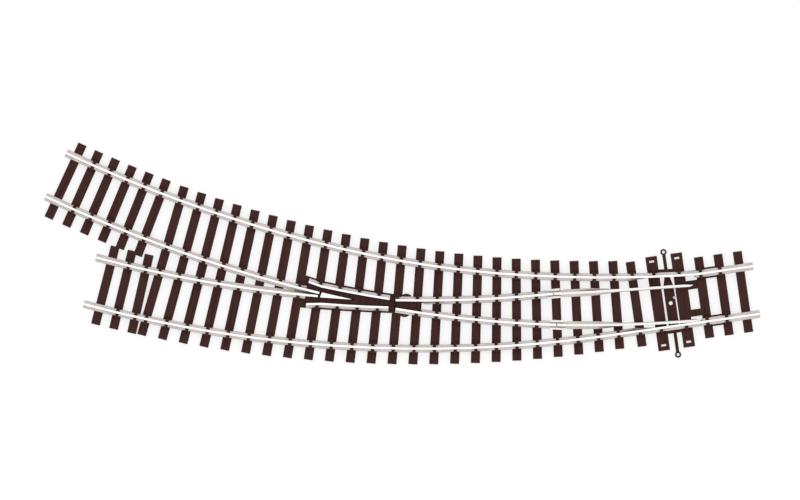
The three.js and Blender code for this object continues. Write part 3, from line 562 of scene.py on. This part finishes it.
@dataclass
class SleeperPlan:
    """Where each sleeper lies, for the direction of its grain.

    A law gives the place of a long sleeper's end along its stock rail: start, pitch and growth. A leg
    gives the number of short sleepers, the place of the first and their pitch.
    """

    inner_curve: tuple[Segment, ...] = (
        Segment(21.4), Segment(62.5, 496, 4.38), Segment(64.5, 386), Segment(254, 502))
    outer_curve: tuple[Segment, ...] = (Segment(55), Segment(245.5, 473.5))
    toe_end: float = 4.9
    spacing: float = 17.4
    toe_pitch: float = 7.1
    toe_count: int = 3
    headblocks: tuple[float, float] = (-21.95, -31.1)
    switch_end: float = -38.8
    long_count: int = 24
    inner_law: tuple[float, float, float] = (50.43, 7.087, -0.0059)
    outer_law: tuple[float, float, float] = (51.5, 7.383, 0.0034)
    inner_leg: tuple[int, float, float] = (6, 217.64, 6.66)
    outer_leg: tuple[int, float, float] = (3, 227.1, 6.63)

    def lines(self) -> tuple[TrackLine, TrackLine]:
        """The lines of the inner and outer stock rails."""
        half = self.spacing / 2
        return (TrackLine((self.toe_end, half), self.inner_curve),
                TrackLine((self.toe_end, -half), self.outer_curve))

    def axes(self) -> list[tuple[Vector, Vector]]:
        """Each sleeper's centreline.

        Returns:
            A point on it and its direction, one pair a sleeper.
        """
        inner, outer = self.lines()
        across = Vector((0.0, 1.0))
        square = [-self.toe_pitch * index for index in range(self.toe_count)]
        square += [*self.headblocks, self.switch_end]
        pairs = [(Vector((x, 0.0)), across) for x in square]
        for index in range(self.long_count):
            ends = [line.at(law[0] + law[1] * index + law[2] * index * index)
                    for line, law in ((outer, self.outer_law), (inner, self.inner_law))]
            pairs.append((ends[0].lerp(ends[1], 0.5), (ends[1] - ends[0]).normalized()))
        legs = ((inner, self.inner_leg, self.spacing), (outer, self.outer_leg, -self.spacing))
        for line, leg, offset in legs:
            for index in range(leg[0]):
                ends = [line.at(leg[1] + leg[2] * index, side) for side in (0.0, offset)]
                pairs.append((ends[0].lerp(ends[1], 0.5), (ends[1] - ends[0]).normalized()))
        return pairs


def store_grain(
    mesh: bpy.types.Mesh, axes: list[tuple[Vector, Vector]], reach: float = 17.0
) -> None:
    """Stores, on each face corner, its place along and across the nearest sleeper.

    Args:
        mesh: mesh to mark, in metres.
        axes: the sleepers' centrelines, in millimetres.
        reach: half length of a sleeper, which keeps the two legs apart.
    """
    layer = mesh.attributes.new(GRAIN_ATTRIBUTE, "FLOAT_VECTOR", "CORNER")
    for polygon in mesh.polygons:
        spot = flat(polygon.center) / MM

        def miss(index: int, spot: Vector = spot) -> float:
            """Distance from the face to a sleeper's centreline."""
            point, way = axes[index]
            gap = spot - point
            beyond = max(0.0, abs(gap.dot(way)) - reach)
            return abs(way.x * gap.y - way.y * gap.x) + BEYOND_END_WEIGHT * beyond

        nearest = min(range(len(axes)), key=miss)
        point, way = axes[nearest]
        for corner in polygon.loop_indices:
            place = mesh.vertices[mesh.loops[corner].vertex_index].co
            gap = flat(place) / MM - point
            along, across = gap.dot(way), way.x * gap.y - way.y * gap.x
            shift = GRAIN_SHIFT_MM * nearest
            layer.data[corner].vector = (along * MM, across * MM + place.z, shift * MM)


@dataclass
class RailSeats:
    """Moulded lips that clip over the rail feet beside each chair."""

    lip: float = 1.3
    under: float = 2.42
    top: float = 2.62
    inner_wall: float = 1.46
    outer_wall: float = 1.9
    foot: float = 1.95
    chair_top: float = 3.15
    chair_under: float = 2.72
    chair_lip: float = 0.36
    chair_outside: float = 2.0
    half_length: float = 1.5
    soft: float = 0.06

    def section(self) -> list[tuple[float, float]]:
        """Outline across the rail, from the rail's centre outwards."""
        return [
            (self.lip, self.under), (self.inner_wall, self.under), (self.inner_wall, self.foot),
            (self.outer_wall, self.foot), (self.outer_wall, self.top - self.soft),
            (self.outer_wall - self.soft, self.top), (self.lip + self.soft / 2, self.top),
            (self.lip, self.top - self.soft / 2),
        ]

    def spots(self) -> list[tuple[Vector, Vector]]:
        """Finds the chairs in the base's mesh.

        Returns:
            For each chair, the point on the rail's centreline in line with it, in millimetres, and
            the plan direction from the rail to the chair.
        """
        work = bmesh.new()
        work.from_mesh(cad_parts["sleeper_base"].data)
        bmesh.ops.remove_doubles(work, verts=work.verts, dist=WELD_M)
        tops = self._islands(work, self.chair_top, 1)
        unders = self._islands(work, self.chair_under, -1)
        work.free()
        found = []
        for top in tops:
            under = min(unders, key=lambda spot: (spot - top).length)
            way = (top - under).normalized()
            found.append((top - way * (self.chair_lip + self.chair_outside) / 2, way))
        return found

    @staticmethod
    def _islands(work: bmesh.types.BMesh, level: float, sign: int) -> list[Vector]:
        """Middles of the separate flat patches at one level that face up or down.

        The faces are kept in mesh order, so that every run gives the lips in the same order.
        """
        wanted = dict.fromkeys(
            face for face in work.faces
            if face.normal.z * sign > LEVEL_NORMAL
            and abs(face.calc_center_median().z / MM - level) < LEVEL_MISS_MM
        )
        middles = []
        while wanted:
            first = next(iter(wanted))
            del wanted[first]
            stack, island = [first], []
            while stack:
                face = stack.pop()
                island.append(face)
                for beside in (other for edge in face.edges for other in edge.link_faces):
                    if beside in wanted:
                        del wanted[beside]
                        stack.append(beside)
            area = sum(face.calc_area() for face in island)
            moments = (flat(face.calc_center_median()) * face.calc_area() for face in island)
            middles.append(sum(moments, Vector((0, 0))) / area / MM)
        return middles

    def build(self, axes: list[tuple[Vector, Vector]]) -> bpy.types.Object:
        """Builds the lips of every chair as one piece.

        Args:
            axes: the sleepers' centrelines, for the grain.

        Returns:
            The finished object.
        """
        work = bmesh.new()
        outline = self.section()
        for centre, way in self.spots():
            along = Vector((-way.y, way.x))
            rings = []
            for end in (-self.half_length, self.half_length):
                ring = []
                for across, height in outline:
                    spot = centre + way * across + along * end
                    ring.append(work.verts.new((spot.x * MM, spot.y * MM, height * MM)))
                rings.append(ring)
            for first, second in zip(range(len(outline)), [*range(1, len(outline)), 0]):
                work.faces.new(
                    (rings[0][first], rings[0][second], rings[1][second], rings[1][first]))
            work.faces.new(rings[0][::-1])
            work.faces.new(rings[1])
        bmesh.ops.recalc_face_normals(work, faces=work.faces)
        mesh = bpy.data.meshes.new("rail_seats")
        work.to_mesh(mesh)
        work.free()
        store_grain(mesh, axes)
        piece = bpy.data.objects.new("rail_seats", mesh)
        bpy.context.scene.collection.objects.link(piece)
        piece.data.materials.append(PAINT.get(Finish.SLEEPER))
        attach(piece, "track")
        LOG.info("%s: %d faces", piece.name, len(mesh.polygons))
        return piece


# ---- Sub-assemblies ----
@dataclass
class SleeperWork:
    """Moulded base: sleepers, webs, headblocks, crossing floor and chairs."""

    plan: SleeperPlan = field(default_factory=SleeperPlan)
    seats: RailSeats = field(default_factory=RailSeats)
    edge: Refinement = field(default_factory=lambda: Refinement(width=0.2, shortest=1.0))

    def build(self) -> None:
        """Builds the base and its rail seats."""
        axes = self.plan.axes()
        base = Piece("sleeper_base", "track", "sleeper_plastic", Finish.SLEEPER, self.edge).build()
        store_grain(base.data, axes)
        self.seats.build(axes)


@dataclass
class RailWork:
    """Stock, closure, wing and vee rails, the nose and the plastic between them."""

    rails: tuple[str, ...] = (
        "inner_stock_rail", "outer_stock_rail",
        "inner_route_closure_rail", "outer_route_closure_rail",
        "inner_wing_rail", "outer_wing_rail",
        "inner_route_vee_rail", "outer_route_vee_rail", "frog_nose")
    edge: Refinement = field(default_factory=lambda: Refinement(width=0.13, shortest=0.4))

    def build(self) -> None:
        """Builds the fixed rails and insulators."""
        for name in self.rails:
            Piece(name, "track", "rail_metal", Finish.RAIL, self.edge).build()
        for name in ("inner_throat_insulator", "outer_throat_insulator"):
            Piece(name, "track", "sleeper_plastic", Finish.THROAT, self.edge).build()
        Piece("vee_insulator", "track", "insulator_plastic", Finish.VEE_GAP, self.edge).build()


@dataclass
class SwitchWork:
    """Point blades with their pins and joiners, the tie bar, its spring and cover."""

    routes: tuple[str, str] = ("inner_route", "outer_route")
    blade_edge: Refinement = field(default_factory=lambda: Refinement(width=0.05, shortest=0.9))
    small_edge: Refinement = field(default_factory=lambda: Refinement(width=0.05, shortest=0.3))
    bar_edge: Refinement = field(default_factory=lambda: Refinement(width=0.1, shortest=0.5))
    round_edge: Refinement = field(
        default_factory=lambda: Refinement(width=0.03, shortest=5.0, sharpest_kept=60.0))

    def build(self) -> None:
        """Builds the moving pieces and what holds them."""
        for route in self.routes:
            blade = f"{route}_blade"
            Piece(blade, blade, "rail_metal", Finish.BLADE, self.blade_edge).build()
            Piece(f"{blade}_pin", blade, "clip_metal", Finish.CLIP, self.small_edge).build()
            Piece(f"{blade}_joiner", "track", "clip_metal", Finish.CLIP, self.small_edge).build()
        Piece("tie_bar", "tie_bar", "sleeper_plastic", Finish.TIE_BAR, self.bar_edge).build()
        Piece("over_centre_spring", "spring", "spring_steel", Finish.SPRING, self.round_edge).build()
        Piece("spring_cover_plate", "track", "cover_steel", Finish.COVER, self.small_edge).build()
        for name in ("inner_jumper_wire", "outer_jumper_wire"):
            Piece(name, "track", "copper", Finish.COPPER, self.round_edge).build()


@dataclass
class Studio:
    """Pale floor, soft light from above and a camera that looks straight down."""

    centre: tuple[float, float] = (-0.12043, 0.03253)
    tilt_deg: float = -8.15
    width_m: float = 0.2888
    height_m: float = 0.6
    floor_m: float = 6.0
    floor_below_m: float = 0.0002
    room_light: float = 0.85

    def build(self) -> None:
        """Builds the floor, the lights and the camera."""
        self._floor()
        self._world()
        self._lamp("key_light", (0.10, -0.16, 0.75), 0.9, 1.4)
        self._lamp("fill_light", (-0.25, 0.30, 0.70), 0.9, 1.0)
        self._camera()

    def _floor(self) -> None:
        """Makes the floor under the sleepers."""
        half = self.floor_m / 2
        mesh = bpy.data.meshes.new("studio_floor")
        corners = [(-half, -half, 0), (half, -half, 0), (half, half, 0), (-half, half, 0)]
        mesh.from_pydata(corners, [], [(0, 1, 2, 3)])
        floor = bpy.data.objects.new("studio_floor", mesh)
        bpy.context.scene.collection.objects.link(floor)
        floor.location.z = CAD_BOX[0][2] - self.floor_below_m
        mesh.materials.append(PAINT.get(Finish.FLOOR))

    def _world(self) -> None:
        """Fills the room with even white light."""
        world = bpy.data.worlds.new("studio_world")
        world.use_nodes = True
        background = world.node_tree.nodes["Background"]
        background.inputs["Color"].default_value = (1.0, 1.0, 1.0, 1.0)
        background.inputs["Strength"].default_value = self.room_light
        bpy.context.scene.world = world

    def _lamp(
        self, name: str, place: tuple[float, float, float], size: float, power: float
    ) -> None:
        """Adds a square soft light that faces the turnout."""
        data = bpy.data.lights.new(name, "AREA")
        data.size = size
        data.energy = power
        lamp = bpy.data.objects.new(name, data)
        lamp.location = Vector(place) + Vector((*self.centre, 0.0))
        aim = Vector((*self.centre, 0.0)) - lamp.location
        lamp.rotation_euler = aim.to_track_quat("-Z", "Y").to_euler()
        bpy.context.scene.collection.objects.link(lamp)

    def _camera(self) -> None:
        """Adds the camera."""
        data = bpy.data.cameras.new("camera")
        data.type = "ORTHO"
        data.ortho_scale = self.width_m
        data.clip_start = 0.01
        camera = bpy.data.objects.new("camera", data)
        camera.location = (*self.centre, self.height_m)
        camera.rotation_euler = (0.0, 0.0, math.radians(self.tilt_deg))
        bpy.context.scene.collection.objects.link(camera)
        bpy.context.scene.camera = camera
        bpy.context.scene.view_settings.view_transform = "Standard"


def main() -> None:
    """Builds the studio and every sub-assembly."""
    logging.basicConfig(level=logging.INFO, format="%(name)s %(message)s")
    Studio().build()
    SleeperWork().build()
    RailWork().build()
    SwitchWork().build()


if __name__ == "__main__":
    main()
